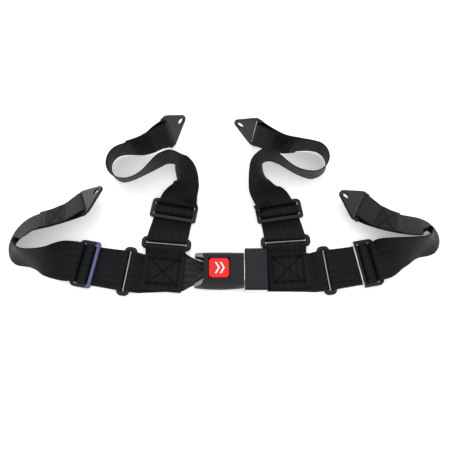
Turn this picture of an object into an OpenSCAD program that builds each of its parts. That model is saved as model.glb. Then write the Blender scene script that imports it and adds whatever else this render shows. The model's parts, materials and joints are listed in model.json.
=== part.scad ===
// Four-point racing harness lying on a flat surface.
// X runs along the lap belt, Y points away from the wearer's lap, Z is up.
// The origin is on the surface, under the middle of the push-button buckle.

/* [Webbing] */
// Width of all the webbing
webbing_w = 50; // [44:1:52]
// Thickness of one layer of webbing
webbing_t = 1.4; // [1.0:0.1:1.6]
// Air between two layers, and between webbing and metal
webbing_gap = 0.3; // [0.2:0.05:0.4]
// Depth of one stitch line above the webbing
stitch_h = 0.3; // [0.2:0.1:0.6]
// Width of one stitch line
stitch_w = 0.8; // [0.6:0.1:1.2]

/* [Buckle] */
// Length of the buckle's covers
buckle_l = 49; // [44:1:52]
// Width of the buckle across its widest line
buckle_w = 47; // [46:0.5:48]
// Height of the buckle
buckle_h = 20; // [19:1:24]
// Length of the two horns beside the webbing
horn_l = 12; // [8:1:14]
// Wall thickness of the moulded covers
cover_wall = 2; // [1.6:0.1:2.4]
// How much narrower the covers are at their ends than in the middle
cover_bulge = 2.6; // [1.5:0.1:3]
// Height of the horns at their tips
horn_tip_h = 9.5; // [9.5:0.5:12]
// Side of the square push button
button_side = 24.5; // [22:0.5:26]
// Travel of the push button
button_travel = 3; // [2:0.5:3]
// Air around the push button
button_gap = 0.8; // [0.3:0.1:1]

/* [Tongue] */
// Length of the tongue's cover along the lap belt
tongue_cover_l = 27; // [24:1:30]
// Width of the tongue's cover
tongue_cover_w = 53; // [53:0.5:54]
// Height of the tongue's cover
tongue_cover_h = 17; // [16:1:20]
// Length of the steel blade that goes into the buckle
blade_l = 32; // [28:1:34]
// Width of the steel blade
blade_w = 26; // [22:1:28]
// Thickness of the steel blade and of the buckle's frame
steel_t = 2.5; // [2:0.1:3]
// Air between the blade and the buckle
blade_gap = 0.4; // [0.3:0.05:0.6]

/* [Rings] */
// Length of a ring beyond each edge of the webbing
ring_margin = 6.5; // [6.5:0.5:8]
// Outer width of a ring across its bars
ring_w = 16.5; // [16:0.5:22]
// Diameter of a ring's wire
ring_wire = 6; // [4:0.5:6]

/* [Adjusters] */
// Length of an adjuster beyond each edge of the webbing
adjuster_margin = 5; // [4.5:0.5:7]
// Thickness of an adjuster's plate
adjuster_t = 4; // [3:0.5:5]
// Width of an adjuster's two outer bars
adjuster_bar = 4.6; // [4:0.2:5]
// Width of an adjuster's middle bar, which the webbing's end is sewn round
adjuster_middle = 8.5; // [6:0.5:10]
// Width of the window on the ring's side of the middle bar
near_window = 3.6; // [3.2:0.2:5]
// Width of the window on the other side, where the strap comes up
far_window = 5.2; // [5:0.2:7]
// Distance from ring to adjuster on the lap straps
lap_reach = 52; // [48:1:56]
// Distance from ring to adjuster on the left shoulder strap
left_shoulder_reach = 46; // [44:1:48]
// Distance from ring to adjuster on the right shoulder strap
right_shoulder_reach = 42; // [42:1:45]

/* [Anchor plates] */
// Width of an anchor plate beyond each edge of the webbing
anchor_margin = 5; // [4.5:0.5:7]
// Distance from the slot's bar to the bolt hole
anchor_reach = 25; // [23:1:36]
// Diameter of the bolt hole
bolt_hole_d = 8.5; // [6.5:0.5:11.5]
// Radius of the plate's rounded tip
anchor_tip_r = 9; // [8:0.5:12]
// Thickness of an anchor plate
anchor_t = 3; // [2.5:0.5:4]
// Length of the webbing folded back behind an anchor plate
anchor_fold = 4; // [2:1:4]

/* [Layout] */
// Left shoulder strap's distance from the buckle's middle
left_shoulder_x = 70; // [68:1:76]
// Right shoulder strap's distance from the buckle's middle
right_shoulder_x = 80; // [80:1:84]
// Distance of the lap rings from the buckle's middle
lap_ring_x = 118; // [116:1:126]

/* [Hidden] */
$fn = 48;

webbing_colour = [0.10, 0.11, 0.12];
steel_colour = [0.24, 0.25, 0.28];
plastic_colour = [0.20, 0.20, 0.21];
bare_steel = [0.66, 0.67, 0.70];

// Levels of the layers above the surface.
floor_gap = 0.2;
layer = webbing_t + webbing_gap;
run_z = floor_gap + webbing_t / 2;          // lower run of a strap
return_z = run_z + layer;                   // upper run, which ends round the adjuster
plate_z = return_z + webbing_t / 2 + webbing_gap;
wire_r = ring_wire / 2;
wrap_r = wire_r + webbing_gap + webbing_t / 2;  // centreline of webbing round a wire
bar_offset = ring_w / 2 - wire_r;
lap_ring_z = floor_gap + webbing_t / 2 + wrap_r;
shoulder_ring_z = lap_ring_z + 3;           // lets the patch lie on the lap belt
belt_half = webbing_w / 2;
ring_l = webbing_w + 2 * ring_margin;
adjuster_l = webbing_w + 2 * adjuster_margin;
anchor_w = webbing_w + 2 * anchor_margin;

// Ends of the buckle and of the tongue's cover. The right side was laid out with the cover
// ending at laid_out_x, and moves along with it.
buckle_x0 = -22;
buckle_x1 = buckle_x0 + buckle_l;
tongue_x0 = buckle_x1 + 1.2;
tongue_x1 = tongue_x0 + tongue_cover_l;
laid_out_x = 55.2;
right_shift = tongue_x1 - laid_out_x;

// Each leg: ring centre, ring height, the strap's heading, reach, the side of the
// strap's second edge (1 is left of the heading, -1 is right), the ring's heading, and
// how far the strap has drifted towards its second edge where it leaves the adjuster.
ring_corner_r = 3.5;
left_shoulder_y = belt_half + bar_offset + wire_r + 1.25;
right_shoulder_y = tongue_cover_w / 2 + bar_offset + wire_r + 2.75;
LEGS = [
    [[-lap_ring_x, 0], lap_ring_z, 170, lap_reach, -1, 172, 0],
    [[lap_ring_x + 12 + right_shift, 1], lap_ring_z, 10, lap_reach, 1, 7, 0],
    [[-left_shoulder_x, left_shoulder_y], shoulder_ring_z, 80, left_shoulder_reach, -1, 85, 5],
    [[right_shoulder_x + right_shift, right_shoulder_y], shoulder_ring_z, 99, right_shoulder_reach, 1, 94, 8]
];

// Free run of each strap beyond its adjuster: x, y, z and roll in degrees.
// Roll is 0 where the webbing lies flat and 90 where it stands on its edge.
LEFT_LAP_ROUTE = [
    [-206, 9, 18.3, 46], [-222, 8, 24, 68], [-238, 11, 25, 78], [-249, 16, 24, 72],
    [-255, 23, 22, 60], [-255, 33, 20.4, 52], [-252, 42, 19.3, 48], [-247, 50, 19, 46],
    [-239, 57, 19, 45], [-229, 61, 19, 44], [-216, 65, 18, 43], [-203, 70, 18, 41],
    [-190, 75, 18, 40], [-177, 81, 18, 38]
];
RIGHT_LAP_ROUTE = [
    [214, 18, 19, 46], [230, 21, 24, 64], [245, 25, 25, 74], [255, 30, 24, 68],
    [261, 37, 22, 57], [260, 46, 20, 49], [256, 51, 19, 46], [249, 54, 18, 43],
    [238, 56, 17, 41], [225, 58, 17, 39], [212, 62, 16, 36], [200, 67, 15, 32],
    [188, 73, 14, 29], [177, 79, 14, 27]
];
LEFT_SHOULDER_ROUTE = [
    [-51, 101, 16, 24], [-47, 111, 19, 39], [-47, 123, 23, 56], [-54, 137, 24, 73],
    [-61, 145, 26, 92], [-71, 147, 26, 98], [-83, 141, 26, 98], [-95, 131, 26, 104],
    [-107, 121, 26, 110], [-120, 115, 26, 111], [-132, 116, 26, 106], [-141, 124, 26, 97],
    [-145, 136, 26, 86], [-143, 148, 26, 78], [-135, 156, 26, 76], [-122, 159, 26, 80],
    [-107, 161, 27, 87], [-94, 166, 28, 92], [-82, 172, 30, 95], [-71, 176, 31, 99]
];
RIGHT_SHOULDER_ROUTE = [
    [58, 97, 15.5, 22], [51, 107, 18, 36], [47, 120, 22, 55], [46, 135, 24, 70],
    [52, 147, 26, 90], [62, 150, 26, 99], [73, 145, 26, 102], [84, 136, 26, 105],
    [95, 128, 26, 107], [107, 123, 26, 106], [119, 122, 26, 103], [129, 128, 26, 97],
    [135, 138, 26, 88], [135, 150, 26, 80], [128, 160, 26, 76], [115, 164, 26, 77],
    [100, 165, 26, 81], [86, 165, 27, 86], [73, 168, 28, 90], [60, 174, 30, 93],
    [48, 182, 31, 95]
];
function moved(route) = [for (p = route) p + [right_shift, 0, 0, 0]];
ROUTES = [LEFT_LAP_ROUTE, moved(RIGHT_LAP_ROUTE), LEFT_SHOULDER_ROUTE, moved(RIGHT_SHOULDER_ROUTE)];
// Roll of each strap where it leaves its adjuster.
LEAVING_ROLL = [2, 2, 6, 5];
// How far each anchor plate is turned in its webbing loop.
ANCHOR_TURN = [-18, 10, -30, -6];
// Side of each strap on which its end is folded back.
FOLD_SIDE = [1, -1, 1, 1];

// ---------- small vector helpers ----------
function unit(v) = v / norm(v);
function catmull(a, b, c, d, t) =
    0.5 * (2 * b + (c - a) * t + (2 * a - 5 * b + 4 * c - d) * t * t + (3 * b - a - 3 * c + d) * t * t * t);
function smooth(p, n) = [
    for (i = [0:len(p) - 2]) for (k = [0:n - 1])
        catmull(p[max(i - 1, 0)], p[i], p[i + 1], p[min(i + 2, len(p) - 1)], k / n),
    p[len(p) - 1]
];
function along(c, i) = unit(c[min(i + 1, len(c) - 1)] - c[max(i - 1, 0)]);
function direction(angle) = [cos(angle), sin(angle), 0];
function sideways(leg, angle) = leg[4] * [-sin(angle), cos(angle), 0];
// The strap's own loop lines up with the ring, and the rest with the strap's heading.
function angle_at(leg, s) = s < bar_offset + 1 ? leg[5] : leg[2];
function leg_point(leg, s, z) = [leg[0][0], leg[0][1], 0] + s * direction(angle_at(leg, s)) + [0, 0, z];
function rolled(t, roll, side) =
    let (h = unit(cross([0, 0, 1], t)), v = cross(t, h)) side * h * cos(roll) + v * sin(roll);

// ---------- a strap's centreline and width directions ----------
// Side view of the strap near its hardware, as [distance from ring, height, drift]: round
// the adjuster's middle bar, back to the ring, round its bar, and out under the adjuster.
strap_top = plate_z + adjuster_t + webbing_gap + webbing_t / 2;
near_edge = adjuster_middle / 2 + near_window + adjuster_bar;
far_edge = adjuster_middle / 2 + far_window + adjuster_bar;
function hardware_profile(leg) =
    let (a = leg[3], z_ring = leg[1], s_bar = bar_offset, top = strap_top,
         half = adjuster_middle / 2 + webbing_gap + webbing_t / 2,
         rise = adjuster_middle / 2 + far_window - webbing_gap - webbing_t)
    [
        [a - half + 1.3, return_z, 0], [a + half - 0.8, return_z, 0], [a + half, return_z + 0.8, 0],
        [a + half, top - 1.2, 0], [a + half - 1.2, top + 0.3, 0], [a, top + 1, 0],
        [a - half + 1.2, top + 0.3, 0], [a - half, top - 1.2, 0], [a - half, return_z + 1.2, 0],
        [a - half - 1.2, return_z, 0], [a - near_edge - 2, return_z, 0], [s_bar + 12, z_ring + 0.8, 0],
        for (angle = [90:22.5:270])
            [s_bar + wrap_r * cos(angle), z_ring + wrap_r * sin(angle), 0],
        [s_bar + 8, run_z, 0], [a - near_edge + 2, run_z, 0], [a + half - 2, run_z, 0],
        [a + half + 0.6, run_z + 1, 0], [a + rise - 0.5, plate_z, 0],
        [a + rise, plate_z + adjuster_t - 0.6, 0], [a + far_edge - adjuster_bar - 0.2, top + 1, 0.3],
        [a + far_edge - adjuster_bar / 2, top + 2.2, 0.8], [a + far_edge + 0.2, top + 3, 1]
    ];
function strap_start(i) = [
    for (q = hardware_profile(LEGS[i]))
        leg_point(LEGS[i], q[0], q[1]) + q[2] * LEGS[i][6] * sideways(LEGS[i], LEGS[i][2])
];
function free_route(i) =
    let (start = strap_start(i), first = start[len(start) - 1])
    smooth(concat([concat(first, [LEAVING_ROLL[i]])], ROUTES[i]), 3);
function free_centres(i) = [for (p = free_route(i)) [p[0], p[1], p[2]]];
function free_widths(i) =
    let (r = free_route(i), c = free_centres(i))
    [for (k = [0:len(c) - 1]) rolled(along(c, k), r[k][3], LEGS[i][4])];

// End of the free run, where the webbing turns round the anchor plate's bar.
bar_wrap_r = norm([adjuster_bar, anchor_t]) / 2 + webbing_gap + webbing_t / 2;
function end_point(i) = let (c = free_centres(i)) c[len(c) - 1];
function end_along(i) = let (c = free_centres(i)) along(c, len(c) - 1);
function end_across(i) = let (w = free_widths(i)) w[len(w) - 1];
function end_normal(i) = FOLD_SIDE[i] * cross(end_along(i), end_across(i));
function bar_centre(i) = end_point(i) - bar_wrap_r * end_normal(i);
function loop_centres(i) = [
    for (angle = [20:20:160])
        bar_centre(i) + bar_wrap_r * (cos(angle) * end_normal(i) + sin(angle) * end_along(i))
];
// The folded end comes back behind the strap, closing up to one layer's distance.
function fold_centres(i) =
    let (c = free_centres(i), w = free_widths(i), n = len(c), steps = anchor_fold * 3)
    [for (k = [0:steps])
        let (j = n - 1 - k, out = max(layer, 2 * bar_wrap_r - k * (2 * bar_wrap_r - layer) / 5))
        c[j] - out * FOLD_SIDE[i] * cross(along(c, j), w[j])];
function fold_widths(i) =
    let (w = free_widths(i), n = len(w)) [for (k = [0:anchor_fold * 3]) w[n - 1 - k]];

function strap_centres(i) = concat(
    strap_start(i), [for (k = [1:len(free_centres(i)) - 1]) free_centres(i)[k]],
    loop_centres(i), fold_centres(i));
function strap_widths(i) = concat(
    [for (q = hardware_profile(LEGS[i])) sideways(LEGS[i], angle_at(LEGS[i], q[0]))],
    [for (k = [1:len(free_widths(i)) - 1]) free_widths(i)[k]],
    [for (q = loop_centres(i)) end_across(i)], fold_widths(i));

// A ribbon of webbing along centres c, with its width along the directions w.
module ribbon(c, w) {
    n = len(c);
    points = [for (k = [0:n - 1])
        let (normal = unit(cross(along(c, k), w[k])) * webbing_t / 2, side = w[k] * webbing_w / 2)
        each [c[k] - side - normal, c[k] + side - normal, c[k] + side + normal, c[k] - side + normal]];
    walls = [for (k = [0:n - 2]) for (j = [0:3])
        let (a = 4 * k + j, b = 4 * k + (j + 1) % 4)
        each [[a, b + 4, b], [a, a + 4, b + 4]]];
    ends = [[0, 1, 2], [0, 2, 3], [4 * n - 1, 4 * n - 2, 4 * n - 3], [4 * n - 1, 4 * n - 3, 4 * n - 4]];
    polyhedron(points, concat(walls, ends), convexity = 10);
}

module strap(i) { color(webbing_colour) ribbon(strap_centres(i), strap_widths(i)); }

// ---------- hardware ----------
module turned_frame(i, angle) {
    translate([LEGS[i][0][0], LEGS[i][0][1], 0]) rotate([0, 0, angle]) children();
}
module ring_frame(i) { turned_frame(i, LEGS[i][5]) children(); }
module strap_frame(i) { turned_frame(i, LEGS[i][2]) children(); }

module wire_bar(length) { rotate([90, 0, 0]) cylinder(d = ring_wire, h = length, center = true); }

// A closed ring of round wire with tight corners; its bars run across the strap.
module ring(i) {
    straight = ring_l - ring_wire - 2 * ring_corner_r;
    side = 2 * (bar_offset - ring_corner_r);
    color(steel_colour) ring_frame(i) translate([0, 0, LEGS[i][1]]) union() {
        for (sign = [-1, 1]) {
            translate([sign * bar_offset, 0, 0]) wire_bar(straight);
            translate([0, sign * (ring_l / 2 - wire_r), 0]) rotate([0, 0, 90]) wire_bar(side);
            for (end = [-1, 1])
                translate([sign * (bar_offset - ring_corner_r), end * straight / 2, 0])
                    rotate([0, 0, sign > 0 ? (end > 0 ? 0 : 270) : (end > 0 ? 90 : 180)])
                        rotate_extrude(angle = 90) translate([ring_corner_r, 0]) circle(r = wire_r);
        }
    }
}

// Three-bar slide: a plate with two windows. Its origin is at the middle bar, and its
// corners are larger on the side that the strap leaves by.
module adjuster(i) {
    rail = adjuster_margin - 1;
    tight = 3;
    wide = 6;
    color(steel_colour) strap_frame(i) translate([LEGS[i][3], 0, plate_z]) difference() {
        linear_extrude(adjuster_t) hull() for (y = [-1, 1]) {
            translate([tight - near_edge, y * (adjuster_l / 2 - tight)]) circle(r = tight);
            translate([far_edge - wide, y * (adjuster_l / 2 - wide)]) circle(r = wide);
        }
        for (window = [[-adjuster_middle / 2 - near_window, near_window], [adjuster_middle / 2, far_window]])
            translate([window[0], rail - adjuster_l / 2, -1])
                cube([window[1], adjuster_l - 2 * rail, adjuster_t + 2]);
    }
}

// Frame of an anchor plate: origin at its bar, X to the bolt hole, Y along the bar.
module anchor_frame(i) {
    w = end_across(i);
    t = end_along(i);
    b = bar_centre(i);
    turn = ANCHOR_TURN[i];
    d = t * cos(turn) + cross(t, w) * sin(turn);
    z = cross(d, w);
    multmatrix([[d[0], w[0], z[0], b[0]], [d[1], w[1], z[1], b[1]], [d[2], w[2], z[2], b[2]], [0, 0, 0, 1]])
        children();
}

// Steel plate that narrows from the webbing's slot to a bolt hole at its tip.
module anchor(i) {
    slot = bar_wrap_r + webbing_t / 2 + 1.5 * webbing_gap - adjuster_bar / 2;
    shoulder = slot + adjuster_bar * 1.4 + 1;
    back = -adjuster_bar / 2;
    color(steel_colour) anchor_frame(i) translate([0, 0, -anchor_t / 2]) difference() {
        union() {
            linear_extrude(anchor_t) polygon([
                [back, -anchor_w / 2], [shoulder - 4, -anchor_w / 2], [shoulder + 2, -anchor_w / 2 + 5],
                [anchor_reach + anchor_tip_r * 0.55, -anchor_tip_r * 0.83],
                [anchor_reach + anchor_tip_r * 0.55, anchor_tip_r * 0.83],
                [shoulder + 2, anchor_w / 2 - 5], [shoulder - 4, anchor_w / 2], [back, anchor_w / 2]
            ]);
            translate([anchor_reach, 0, 0]) cylinder(r = anchor_tip_r, h = anchor_t);
        }
        translate([adjuster_bar / 2, -webbing_w / 2 - 1, -1]) cube([slot, webbing_w + 2, anchor_t + 2]);
        translate([anchor_reach, 0, -1]) cylinder(d = bolt_hole_d, h = anchor_t + 2);
    }
}

// ---------- sewn lap belt and shoulder patches ----------
// Side view of webbing looped round a wire at [0, z_wire] and closing to two layers at
// [run, z_low]. The upper layer leaves the loop on the tangent to its end.
module loop_profile(z_wire, run, z_low) {
    inner = wire_r + webbing_gap;
    outer = inner + webbing_t;
    top = z_low + 2 * webbing_t;
    drop = z_wire - (top - webbing_t - 0.3);
    leave = acos(inner / norm([run, drop])) - atan2(drop, run);
    far = 3 * outer;
    translate([0, z_wire]) difference() {
        intersection() {
            circle(r = outer);
            polygon([[0, 0], far * [cos(leave), sin(leave)], [0, far], [-far, far], [-far, -far], [0, -far]]);
        }
        circle(r = inner);
    }
    polygon([[0, z_wire - outer], [run, z_low], [run, z_low + webbing_t], [0, z_wire - inner]]);
    polygon([
        [inner * cos(leave), z_wire + inner * sin(leave)], [run, top - webbing_t - 0.3],
        [run, top], [outer * cos(leave), z_wire + outer * sin(leave)]
    ]);
}

loop_run = 12;
patch_run = 9;

// Doubled lap belt from a ring to its last outline point; the outline gives x and half
// width, from the widest point on.
module lap_webbing(i, outline) {
    leg = LEGS[i];
    low = leg[0][0] < 0 ? 1 : 0;
    near = -bar_offset - loop_run + 0.5;
    half = belt_half - 0.05;
    d = direction(leg[5]);
    corner = [for (y = [-half, half]) [leg[0][0] + near * d[0] - y * d[1], leg[0][1] + near * d[1] + y * d[0]]];
    color(webbing_colour) union() {
        ring_frame(i) translate([-bar_offset, 0, 0]) rotate([90, 0, 180])
            linear_extrude(webbing_w, center = true) loop_profile(leg[1], loop_run, floor_gap);
        translate([0, 0, floor_gap]) linear_extrude(2 * webbing_t) polygon(concat(
            [corner[low], corner[1 - low]], outline,
            [for (k = [len(outline) - 1:-1:0]) [outline[k][0], -outline[k][1]]]
        ));
    }
}

// Shoulder webbing sewn flat on the lap belt, looped round the shoulder ring.
module shoulder_patch(i) {
    leg = LEGS[i];
    patch_z = floor_gap + 2 * webbing_t + 0.02;
    length = 46;
    color(webbing_colour) union() {
        ring_frame(i) translate([-bar_offset, 0, 0]) rotate([90, 0, 180])
            linear_extrude(webbing_w, center = true) loop_profile(leg[1], patch_run, patch_z);
        ring_frame(i) translate([-bar_offset - patch_run - length, -belt_half, patch_z])
            cube([length + 0.5, webbing_w, 2 * webbing_t]);
    }
}

module stitch_line(from, to) {
    length = norm(to - from);
    translate([(from[0] + to[0]) / 2, (from[1] + to[1]) / 2, stitch_h / 2])
        rotate([0, 0, atan2(to[1] - from[1], to[0] - from[0])])
            cube([length, stitch_w, stitch_h], center = true);
}

// Square of stitching with a cross inside, on the patch.
module patch_stitching(i) {
    margin = 5;
    side = webbing_w - 2 * margin;
    far = -bar_offset - patch_run - 3;
    near = far - 36;
    a = [far, -side / 2];
    b = [far, side / 2];
    c = [near, side / 2];
    d = [near, -side / 2];
    color([0.05, 0.05, 0.06]) ring_frame(i)
        translate([0, 0, floor_gap + 4 * webbing_t + 0.02]) union() {
            stitch_line(a, b);
            stitch_line(b, c);
            stitch_line(c, d);
            stitch_line(d, a);
            stitch_line(a, c);
            stitch_line(b, d);
        }
}

// ---------- buckle ----------
parting_z = 9;
frame_z = 5;
blade_z = parting_z + 0.2;
button_x = -3.5;
side_slope = 4.3;
base_z = 0;
mouth_half = 13;                            // half the mouth that the webbing comes out of
mouth_flare = 4.6;
buckle_outline = [
    [buckle_x0 - horn_l - 13, belt_half], [buckle_x0 - horn_l - 0.5, mouth_half + mouth_flare - 0.5],
    [buckle_x0, mouth_half - 0.4], [buckle_x0 + 5, mouth_half - 0.4]
];

// Cross-section of the covers, seen along X.
module cover_section(inset) {
    half = buckle_w / 2 - inset;
    polygon([
        [-half + 3, base_z + inset], [half - 3, base_z + inset],
        [half, base_z + 3 + inset], [half, parting_z - 2],
        [half - side_slope, buckle_h - 2 - inset], [half - side_slope - 2, buckle_h - inset],
        [-half + side_slope + 2, buckle_h - inset], [-half + side_slope, buckle_h - 2 - inset],
        [-half, parting_z - 2], [-half, base_z + 3 + inset]
    ]);
}

module along_x(x0, x1) { translate([x0, 0, 0]) rotate([90, 0, 90]) linear_extrude(x1 - x0) children(); }

// Plan of the covers and their horns, widest in the middle.
module cover_plan(inset) {
    steps = 16;
    start = buckle_x0 - horn_l;
    side = [for (k = [0:steps]) let (f = k / steps)
        [start + f * (buckle_x1 - start), buckle_w / 2 - inset - cover_bulge * pow(2 * f - 1, 2)]];
    polygon(concat(side, [for (k = [steps:-1:0]) [side[k][0], -side[k][1]]]));
}

// Mouth for the blade, and the way out for the webbing between the flared horns.
module cover_mouths() {
    tip = buckle_x0 - horn_l;
    translate([buckle_x1 - 10, -blade_w / 2 - blade_gap, blade_z - blade_gap])
        cube([20, blade_w + 2 * blade_gap, steel_t + 2 * blade_gap]);
    translate([buckle_x0 - 0.1, -mouth_half, -1]) cube([5.6, 2 * mouth_half, base_z + 14]);
    translate([0, 0, -1]) linear_extrude(buckle_h + 2) polygon([
        [buckle_x0, mouth_half], [tip, mouth_half + mouth_flare], [tip - 1, mouth_half + mouth_flare],
        [tip - 1, -mouth_half - mouth_flare], [tip, -mouth_half - mouth_flare], [buckle_x0, -mouth_half]
    ]);
    rotate([90, 0, 0]) linear_extrude(2 * buckle_w, center = true) polygon([
        [buckle_x0, buckle_h], [buckle_x0, buckle_h + 1], [tip - 1, buckle_h + 1],
        [tip - 1, horn_tip_h], [tip, horn_tip_h]
    ]);
}

module half_cover(z0, z1) {
    difference() {
        intersection() {
            along_x(buckle_x0 - horn_l, buckle_x1) cover_section(0);
            linear_extrude(buckle_h + 1) cover_plan(0);
            translate([buckle_x0 - horn_l - 1, -buckle_w, z0])
                cube([buckle_l + horn_l + 2, 2 * buckle_w, z1 - z0]);
        }
        intersection() {
            along_x(buckle_x0 + cover_wall, buckle_x1 - cover_wall) cover_section(cover_wall);
            linear_extrude(buckle_h + 1) cover_plan(cover_wall);
        }
        cover_mouths();
    }
}

module buckle_top_cover() {
    hole = button_side + 2 * button_gap;
    color(plastic_colour) difference() {
        half_cover(parting_z, buckle_h);
        translate([button_x - hole / 2, -hole / 2, parting_z]) cube([hole, hole, buckle_h]);
    }
}

post_y = 16.5;

module buckle_base_cover() {
    color(plastic_colour) difference() {
        union() {
            half_cover(base_z, parting_z - 0.05);
            for (x = [buckle_x0 + 5, buckle_x1 - 5]) for (y = [-post_y, post_y])
                translate([x, y, base_z + 1]) cylinder(d = 5, h = frame_z - base_z - 1);
        }
        for (x = [buckle_x0 + 5, buckle_x1 - 5]) for (y = [-post_y, post_y])
            translate([x, y, 0]) cylinder(d = 3.1, h = frame_z + 1);
    }
}

// Steel channel that carries the load: a floor with a window for the latch, two side
// walls and a bar for the lap webbing.
module buckle_frame() {
    half = 15.4;
    color(bare_steel) difference() {
        union() {
            translate([buckle_x0 + 2.5, -post_y - 2.4, frame_z]) cube([buckle_l - 5, 2 * post_y + 4.8, 2]);
            for (sign = [-1, 1])
                translate([buckle_x0 + 12, sign * half - 0.8, frame_z + 1.5]) cube([24, 1.6, 4.5]);
        }
        translate([2, -9, frame_z - 1]) cube([14, 18, 4]);
        translate([buckle_x0 + 7, -14, frame_z - 1]) cube([4, 28, 4]);
        for (x = [buckle_x0 + 5, buckle_x1 - 5]) for (y = [-post_y, post_y])
            translate([x, y, frame_z - 1]) cylinder(d = 3.1, h = 4);
    }
}

module cover_screws() {
    color(steel_colour) for (x = [buckle_x0 + 5, buckle_x1 - 5]) for (y = [-post_y, post_y])
        translate([x, y, 1.2]) union() {
            cylinder(d = 3, h = frame_z + 1.2);
            translate([0, 0, frame_z + 0.8]) cylinder(d = 4.4, h = 1.2);
        }
}

// Spring-steel leaf under the frame: riveted at one end, with a tooth that stands up
// through the frame into the blade's window.
module latch_leaf() {
    color(bare_steel) union() {
        translate([buckle_x0 + 13, -7, frame_z - 1.3]) cube([buckle_l - 13 - cover_wall, 14, 1.2]);
        translate([10, -7, frame_z - 1.3]) cube([3, 14, blade_z + steel_t - frame_z]);
    }
}

module latch_rivets() {
    color(bare_steel) for (y = [-4, 4])
        translate([buckle_x0 + 16, y, frame_z - 2.1]) cylinder(d = 3, h = 0.8);
}

button_top = buckle_h + 0.8;
module release_button() {
    corner = 4;
    side = button_side;
    color([0.85, 0.12, 0.12]) translate([button_x, 0, 0]) union() {
        translate([0, 0, buckle_h - 3.6]) linear_extrude(4.4) union() {
            square([side - 2 * corner, side], center = true);
            square([side, side - 2 * corner], center = true);
            for (x = [-1, 1]) for (y = [-1, 1])
                translate([x * (side / 2 - corner), y * (side / 2 - corner)]) circle(r = corner);
        }
    }
}

// Raised double chevron in place of lettering.
module button_symbol() {
    color([0.95, 0.95, 0.95]) translate([button_x, 0, button_top]) linear_extrude(0.3)
        for (x = [-4, 2]) translate([x, 0]) polygon([
            [-1, -7], [1, -7], [5, 0], [1, 7], [-1, 7], [3, 0]
        ]);
}

// Coil spring under the button, as the sleeve that its coils fill.
module button_spring() {
    z0 = blade_z + steel_t + blade_gap + 0.3;
    color(bare_steel) translate([button_x, 0, z0]) difference() {
        cylinder(d = 9, h = buckle_h - 3.7 - z0);
        translate([0, 0, -1]) cylinder(d = 6.6, h = buckle_h);
    }
}

blade_x0 = buckle_x1 - blade_l + 1;
module ejector() {
    color([0.85, 0.85, 0.8]) translate([blade_x0 - 5.3, -6, frame_z + 2.2]) cube([5, 12, 4.6]);
}

module ejector_spring() {
    x0 = buckle_x0 + 3;
    color(bare_steel) translate([x0, 0, frame_z + 4.6]) rotate([0, 90, 0]) difference() {
        cylinder(d = 3.6, h = blade_x0 - 5.5 - x0);
        translate([0, 0, -1]) cylinder(d = 2.4, h = buckle_l);
    }
}

// ---------- tongue ----------

// Steel blade with a latch window, and a wide bar with a slot for the lap webbing.
module tongue_blade() {
    window = 12;
    color(bare_steel) translate([0, 0, blade_z]) linear_extrude(steel_t) difference() {
        union() {
            translate([blade_x0, -blade_w / 2]) square([blade_l + 8, blade_w]);
            translate([tongue_x0 + 4, -25]) square([tongue_cover_l - 7, 50]);
        }
        translate([8, -8.5]) square([window - 4, 17]);
        translate([tongue_x0 + 13, -21]) square([6, 42]);
    }
}

module rounded_box(x0, x1, half, z0, z1, edge) {
    translate([x0, 0, 0]) rotate([90, 0, 90]) linear_extrude(x1 - x0) polygon([
        [-half + edge, z0], [half - edge, z0], [half, z0 + edge], [half, z1 - edge],
        [half - edge, z1], [-half + edge, z1], [-half, z1 - edge], [-half, z0 + edge]
    ]);
}

module tongue_hollow() {
    translate([tongue_x0 - 1, -blade_w / 2 - 0.2, blade_z - 0.2]) cube([6, blade_w + 0.4, steel_t + 0.4]);
    translate([tongue_x0 + 3, -25.2, 4]) cube([tongue_cover_l - 6, 50.4, 10]);
    translate([tongue_x1 - 6, -belt_half - 0.3, -1]) cube([12, webbing_w + 0.6, 9]);
}

module tongue_cover() {
    color([0.15, 0.16, 0.18]) difference() {
        rounded_box(tongue_x0, tongue_x1, tongue_cover_w / 2, base_z, tongue_cover_h, 2);
        tongue_hollow();
        translate([tongue_x0 - 1, -tongue_cover_w, -1]) cube([tongue_cover_l + 2, 2 * tongue_cover_w, 3.55]);
    }
}

module tongue_base() {
    color(bare_steel) difference() {
        rounded_box(tongue_x0, tongue_x1, tongue_cover_w / 2, base_z, 6, 0.8);
        translate([tongue_x0 - 1, -tongue_cover_w, 2.5]) cube([tongue_cover_l + 2, 2 * tongue_cover_w, 5]);
        tongue_hollow();
    }
}

buckle_top_cover();
buckle_base_cover();
buckle_frame();
latch_leaf();
latch_rivets();
release_button();
button_symbol();
button_spring();
ejector();
ejector_spring();
cover_screws();
tongue_blade();
tongue_cover();
tongue_base();
lap_webbing(0, buckle_outline);  // left_lap_webbing
lap_webbing(1, [[tongue_x1 - 5.5, belt_half]]);  // right_lap_webbing
shoulder_patch(2);  // left_shoulder_patch
shoulder_patch(3);  // right_shoulder_patch
patch_stitching(2);  // left_patch_stitching
patch_stitching(3);  // right_patch_stitching
ring(0);  // left_lap_ring
ring(1);  // right_lap_ring
ring(2);  // left_shoulder_ring
ring(3);  // right_shoulder_ring
strap(0);  // left_lap_strap
strap(1);  // right_lap_strap
strap(2);  // left_shoulder_strap
strap(3);  // right_shoulder_strap
adjuster(0);  // left_lap_adjuster
adjuster(1);  // right_lap_adjuster
adjuster(2);  // left_shoulder_adjuster
adjuster(3);  // right_shoulder_adjuster
anchor(0);  // left_lap_anchor
anchor(1);  // right_lap_anchor
anchor(2);  // left_shoulder_anchor
anchor(3);  // right_shoulder_anchor
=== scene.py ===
"""Racing harness: webbing, stitching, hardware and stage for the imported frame, in metres."""
import json
import math

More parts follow.
